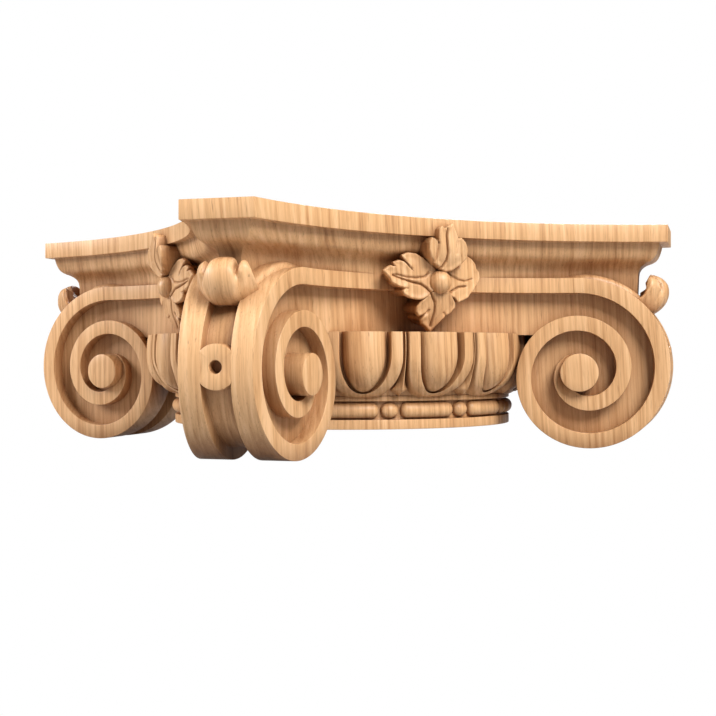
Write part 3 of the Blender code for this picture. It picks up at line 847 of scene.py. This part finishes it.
def oak():
    """One block of oak for every piece, in the object's own metres."""
    material = bpy.data.materials.new("oak")
    material.use_nodes = True
    nodes = material.node_tree.nodes
    links = material.node_tree.links
    shader = nodes["Principled BSDF"]
    shader.inputs["Specular IOR Level"].default_value = 0.4

    def node(kind, **values):
        made = nodes.new(kind)
        for key, value in values.items():
            setattr(made, key, value)
        return made

    def maths(operation, a, b=None, clamp=False):
        made = node("ShaderNodeMath", operation=operation, use_clamp=clamp)
        for slot, value in ((0, a), (1, b)):
            if value is None:
                continue
            if isinstance(value, (int, float)):
                made.inputs[slot].default_value = value
            else:
                links.new(value, made.inputs[slot])
        return made.outputs[0]

    def noise(vector, detail, rough=0.5):
        made = node("ShaderNodeTexNoise")
        made.inputs["Scale"].default_value = 1.0
        made.inputs["Detail"].default_value = detail
        made.inputs["Roughness"].default_value = rough
        links.new(vector, made.inputs["Vector"])
        return made.outputs["Fac"]

    def stretched(vector, x, y, z):
        made = node("ShaderNodeMapping")
        made.inputs["Scale"].default_value = (x, y, z)
        links.new(vector, made.inputs["Vector"])
        return made.outputs["Vector"]

    def centred(value, weight):
        return maths("MULTIPLY", maths("SUBTRACT", value, 0.5), weight)

    def toned(value):
        made = node("ShaderNodeValToRGB")
        elements = made.color_ramp.elements
        while len(elements) < len(WOOD_TONES):
            elements.new(0.5)
        for element, place, colour in zip(elements, TONE_PLACES, WOOD_TONES):
            element.position = place
            element.color = (*colour, 1.0)
        links.new(value, made.inputs["Fac"])
        return made.outputs["Color"]

    place = node("ShaderNodeTexCoord").outputs["Object"]
    split = node("ShaderNodeSeparateXYZ")
    links.new(place, split.inputs[0])
    x, y, z = split.outputs

    # The grain stands upright in the whole block: fibres and rings lie in nearly parallel upright planes.
    sway = centred(noise(stretched(place, 11, 11, 7), 1.0), 0.010)
    wobble = centred(noise(stretched(place, 60, 60, 16), 1.0), 0.0016)
    across = maths("SUBTRACT", maths("MULTIPLY", x, 0.90), maths("MULTIPLY", y, 0.44))
    deep = maths("ADD", maths("MULTIPLY", x, 0.44), maths("MULTIPLY", y, 0.90))
    bow = maths("MULTIPLY", maths("MULTIPLY", deep, deep), 0.55)
    across = maths("ADD", maths("ADD", across, bow), maths("ADD", sway, wobble))
    across = maths("ADD", across, maths("MULTIPLY", z, 0.035))

    grain = node("ShaderNodeCombineXYZ")
    links.new(across, grain.inputs[0])
    links.new(deep, grain.inputs[1])
    links.new(z, grain.inputs[2])
    grain = grain.outputs[0]

    bands = noise(stretched(grain, 210, 24, 7), 2.0)
    stripes = noise(stretched(grain, 760, 110, 14), 3.0, 0.62)
    fibres = noise(stretched(grain, 2600, 500, 60), 2.0, 0.6)
    patch = noise(stretched(grain, 30, 14, 5), 1.0)
    pores = noise(stretched(grain, 2300, 1500, 130), 1.0, 0.4)
    # Each yearly ring starts dark and fades, and the patches shift where it starts.
    rings = maths("FRACT", maths("ADD", maths("MULTIPLY", across, 1 / RING_SPACING),
                                 maths("MULTIPLY", patch, 3.0)))
    early = maths("MULTIPLY", maths("MINIMUM", maths("MULTIPLY", rings, 5.0), 1.0),
                  maths("POWER", maths("SUBTRACT", 1.0, rings), 2.0))

    shade = maths("ADD", maths("MULTIPLY", early, 0.28), centred(stripes, 1.6))
    shade = maths("ADD", shade, centred(bands, 0.95))
    shade = maths("ADD", shade, centred(fibres, 0.45))
    shade = maths("ADD", maths("ADD", shade, centred(patch, 0.30)), 0.36, clamp=True)
    wood = toned(shade)
    pore_mask = maths("MULTIPLY", maths("MULTIPLY", maths("SUBTRACT", pores, 0.60), 7.0, clamp=True),
                      maths("ADD", early, 0.35))
    dark = node("ShaderNodeMix", data_type="RGBA")
    links.new(maths("MULTIPLY", pore_mask, 0.5, clamp=True), dark.inputs["Factor"])
    links.new(wood, dark.inputs["A"])
    dark.inputs["B"].default_value = (*PORE_TONE, 1)
    # Painted shade: an ambient occlusion node darkens the wood's colour in the recesses, where shade falls.
    recess = node("ShaderNodeAmbientOcclusion", samples=8)
    recess.inputs["Distance"].default_value = 0.018
    depth = maths("SUBTRACT", 1.22, maths("MULTIPLY", recess.outputs["AO"], 1.34), clamp=True)
    painted_shade = node("ShaderNodeMix", data_type="RGBA", blend_type="MULTIPLY")
    links.new(depth, painted_shade.inputs["Factor"])
    links.new(dark.outputs["Result"], painted_shade.inputs["A"])
    painted_shade.inputs["B"].default_value = (*PAINTED_SHADE_TINT, 1)
    links.new(painted_shade.outputs["Result"], shader.inputs["Base Color"])

    bump = node("ShaderNodeBump")
    bump.inputs["Strength"].default_value = 0.30
    bump.inputs["Distance"].default_value = 0.0002
    height = maths("SUBTRACT", maths("MULTIPLY", stripes, 0.6), pore_mask)
    links.new(height, bump.inputs["Height"])
    links.new(bump.outputs["Normal"], shader.inputs["Normal"])
    gloss = maths("ADD", maths("MULTIPLY", pore_mask, 0.2),
                  maths("ADD", maths("MULTIPLY", stripes, 0.2), 0.34))
    links.new(gloss, shader.inputs["Roughness"])
    return material


# Put together.

wood = oak()

# The camera that took the photograph, as fitted to the abacus, the volutes and the neck.
camera_data = bpy.data.cameras.new("camera")
camera = bpy.data.objects.new("camera", camera_data)
bpy.context.scene.collection.objects.link(camera)
camera_data.sensor_width = 36.0
camera_data.lens = 61.74
camera_data.clip_start = 0.01
camera_data.clip_end = 50.0
camera.location = (-0.3097, -0.5934, 0.0333)
camera.rotation_euler = (radians(90.06), 0.0, radians(-28.29))
bpy.context.scene.camera = camera

dress("abacus", make_abacus(), wood)
band = make_band()
cell = make_egg_cell()
dart = make_dart()
pair_meshes = [make_pair_body(), make_web(), make_button()] + make_inner_fillets() + make_eyes()
pair_meshes += [make_husk_cup(), make_husk_saddle()]
flower = make_flower()
ball = make_flower_ball()
for quarter in range(4):
    dress(f"band_{quarter}", band, wood, QUARTERS[quarter])
    for leaf in flower:
        side = mirrored(leaf) if quarter % 2 else leaf
        dress(f"{leaf.name}_{quarter}", side, wood, QUARTERS[quarter])
    dress(f"flower_ball_{quarter}", ball, wood, QUARTERS[quarter])
    for number, mesh in enumerate(pair_meshes):
        dress(f"{mesh.name}_{quarter}_{number}".replace(".", "_"), mesh, wood, CORNERS[quarter])
# Three eggs on each face and one behind each corner, with a dart half-way between neighbours.
egg_headings = []
dart_headings = []
for quarter in range(4):
    face = 90.0 * quarter
    egg_headings += [face - EGG_PITCH, face, face + EGG_PITCH, face + 45.0]
    dart_headings += [face - EGG_PITCH / 2, face + EGG_PITCH / 2,
                      face + 22.5 + EGG_PITCH / 2, face - 22.5 - EGG_PITCH / 2]
for number, (egg, between) in enumerate(zip(egg_headings, dart_headings)):
    dress(f"egg_{number}", cell, wood, Matrix.Rotation(radians(egg), 4, "Z"))
    dress(f"dart_{number}", dart, wood, Matrix.Rotation(radians(between), 4, "Z"))
dress("neck", make_neck(), wood)
bar = bead_mesh("bar", BAR_HALF_ANGLE, BAR_ROUND_END, 40)
bead = bead_mesh("bead", BEAD_HALF_ANGLE, 99.0, 24)
for number in range(BEAD_PERIODS):
    dress(f"bar_{number}", bar, wood, Matrix.Rotation(number * tau / BEAD_PERIODS, 4, "Z"))
    dress(f"bead_{number}", bead, wood, Matrix.Rotation((number + 0.5) * tau / BEAD_PERIODS, 4, "Z"))

# Studio.

FLOOR_BOUNCE = 0.28
FLOOR_GLOW = 0.20
FLOOR_HALF = 14.0
SKY = 0.06


def pale_floor():
    """White to the camera, and a soft grey in what it throws back at the wood."""
    material = bpy.data.materials.new("floor")
    material.use_nodes = True
    tree = material.node_tree
    shader = tree.nodes["Principled BSDF"]
    shader.inputs["Base Color"].default_value = (*[FLOOR_BOUNCE] * 3, 1)
    shader.inputs["Roughness"].default_value = 0.9
    shader.inputs["Specular IOR Level"].default_value = 0.0
    shader.inputs["Emission Color"].default_value = (1, 1, 1, 1)
    shader.inputs["Emission Strength"].default_value = FLOOR_GLOW
    white = tree.nodes.new("ShaderNodeEmission")
    white.inputs["Strength"].default_value = 1.0
    mix = tree.nodes.new("ShaderNodeMixShader")
    path = tree.nodes.new("ShaderNodeLightPath")
    tree.links.new(path.outputs["Is Camera Ray"], mix.inputs[0])
    tree.links.new(shader.outputs[0], mix.inputs[1])
    tree.links.new(white.outputs[0], mix.inputs[2])
    tree.links.new(mix.outputs[0], tree.nodes["Material Output"].inputs["Surface"])
    return material


floor_mesh = bpy.data.meshes.new("floor")
corners = [(FLOOR_HALF * x, FLOOR_HALF * y, 0) for x, y in ((-1, -1), (1, -1), (1, 1), (-1, 1))]
floor_mesh.from_pydata(corners, [], [(0, 1, 2, 3)])
floor_mesh.materials.append(pale_floor())
floor = bpy.data.objects.new("floor", floor_mesh)
floor.location.z = cad_box[0][2] - 0.0002
bpy.context.scene.collection.objects.link(floor)


def area_light(name, place, target, width, power, tint=(1, 1, 1)):
    data = bpy.data.lights.new(name, "AREA")
    data.shape = "DISK"
    data.size = width
    data.energy = power
    data.color = tint
    light = bpy.data.objects.new(name, data)
    light.location = place
    aim = Vector(target) - Vector(place)
    light.rotation_euler = aim.to_track_quat("-Z", "Y").to_euler()
    bpy.context.scene.collection.objects.link(light)


def direction(azimuth, elevation, reach):
    """A place round the capital: azimuth 0 is in front of the -Y face, and it grows to the right."""
    a, e = radians(azimuth), radians(elevation)
    return (reach * sin(a) * cos(e), -reach * cos(a) * cos(e), 0.05 + reach * sin(e))


middle = (0, 0, 0.045)
area_light("key", direction(4, 41, 1.7), middle, 0.95, 39.0)
area_light("side", direction(-112, 26, 1.8), middle, 0.9, 31.0, (0.98, 0.98, 1.0))
area_light("back", direction(140, 26, 1.8), middle, 0.80, 22.0)

# White behind the object, and a faint even light on it.
world = bpy.data.worlds.new("studio")
bpy.context.scene.world = world
world.use_nodes = True
tree = world.node_tree
background = tree.nodes["Background"]
background.inputs["Color"].default_value = (1, 1, 1, 1)
background.inputs["Strength"].default_value = SKY
seen = tree.nodes.new("ShaderNodeBackground")
seen.inputs["Strength"].default_value = 1.0
seen.inputs["Color"].default_value = (1, 1, 1, 1)
mix = tree.nodes.new("ShaderNodeMixShader")
path = tree.nodes.new("ShaderNodeLightPath")
tree.links.new(path.outputs["Is Camera Ray"], mix.inputs[0])
tree.links.new(background.outputs[0], mix.inputs[1])
tree.links.new(seen.outputs[0], mix.inputs[2])
tree.links.new(mix.outputs[0], tree.nodes["World Output"].inputs["Surface"])
bpy.context.scene.view_settings.view_transform = "Standard"
